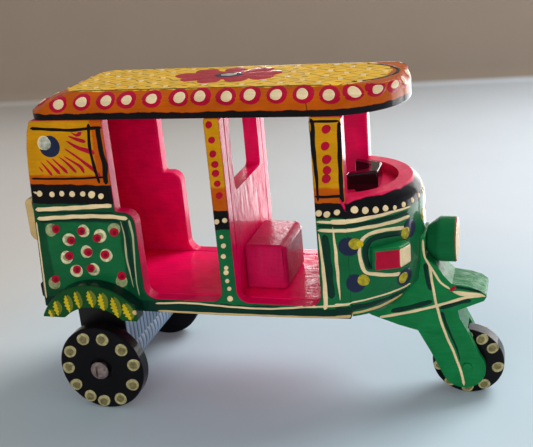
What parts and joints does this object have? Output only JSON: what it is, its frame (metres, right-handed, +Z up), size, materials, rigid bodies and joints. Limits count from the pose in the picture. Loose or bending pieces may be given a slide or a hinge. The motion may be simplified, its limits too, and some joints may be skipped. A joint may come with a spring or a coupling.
{
  "type": "wooden toy auto rickshaw",
  "caption": "Hand-painted lacquered wooden toy auto rickshaw with open sides, a flat roof, a rounded nose and free-turning wheels.",
  "frame": {"origin": "centre of the footprint on the floor, below the middle of the toy's bounding box", "axes": "+X forward towards the front wheel, +Y to the toy's left, +Z up"},
  "size_m": [0.1554, 0.0658, 0.107],
  "materials": {
    "lacquer_red": "gloss",
    "lacquer_green": "gloss",
    "lacquer_yellow": "gloss",
    "lacquer_black": "gloss",
    "lacquer_cream": "gloss",
    "lacquer_silver": "gloss",
    "screw_steel": "satin"
  },
  "bodies": {
    "body": {"floor_board": "lacquer_red", "side_panel_left": "lacquer_green", "side_panel_right": "lacquer_green", "back_panel": "lacquer_green", "partition": "lacquer_red", "roof": "lacquer_yellow", "driver_seat": "lacquer_red", "rear_seat": "lacquer_red", "nose": "lacquer_green", "dash": "lacquer_black", "front_fork": "lacquer_green", "headlamp": "lacquer_green", "side_lamp_left": "lacquer_red", "side_lamp_right": "lacquer_red", "fender_left": "lacquer_green", "fender_right": "lacquer_green", "axle_block": "lacquer_black", "rear_axle": "lacquer_silver", "screw_left": "screw_steel", "screw_right": "screw_steel", "front_axle_pin": "screw_steel", "tail_lamp_left": "lacquer_cream", "tail_lamp_right": "lacquer_cream", "rear_bumper": "lacquer_black"},
    "rear_left": {"wheel_rear_left": "lacquer_black"},
    "rear_right": {"wheel_rear_right": "lacquer_black"},
    "front": {"wheel_front": "lacquer_black"}
  },
  "joints": [
    {"name": "rear_left_spin", "type": "hinge", "parent": "body", "child": "rear_left", "pos_m": [-0.05265, 0.027, 0.01515], "axis": [0, 1, 0], "continuous": true},
    {"name": "rear_right_spin", "type": "hinge", "parent": "body", "child": "rear_right", "pos_m": [-0.05265, -0.027, 0.01515], "axis": [0, 1, 0], "continuous": true},
    {"name": "front_spin", "type": "hinge", "parent": "body", "child": "front", "pos_m": [0.06615, 0, 0.0115], "axis": [0, 1, 0], "continuous": true}
  ]
}
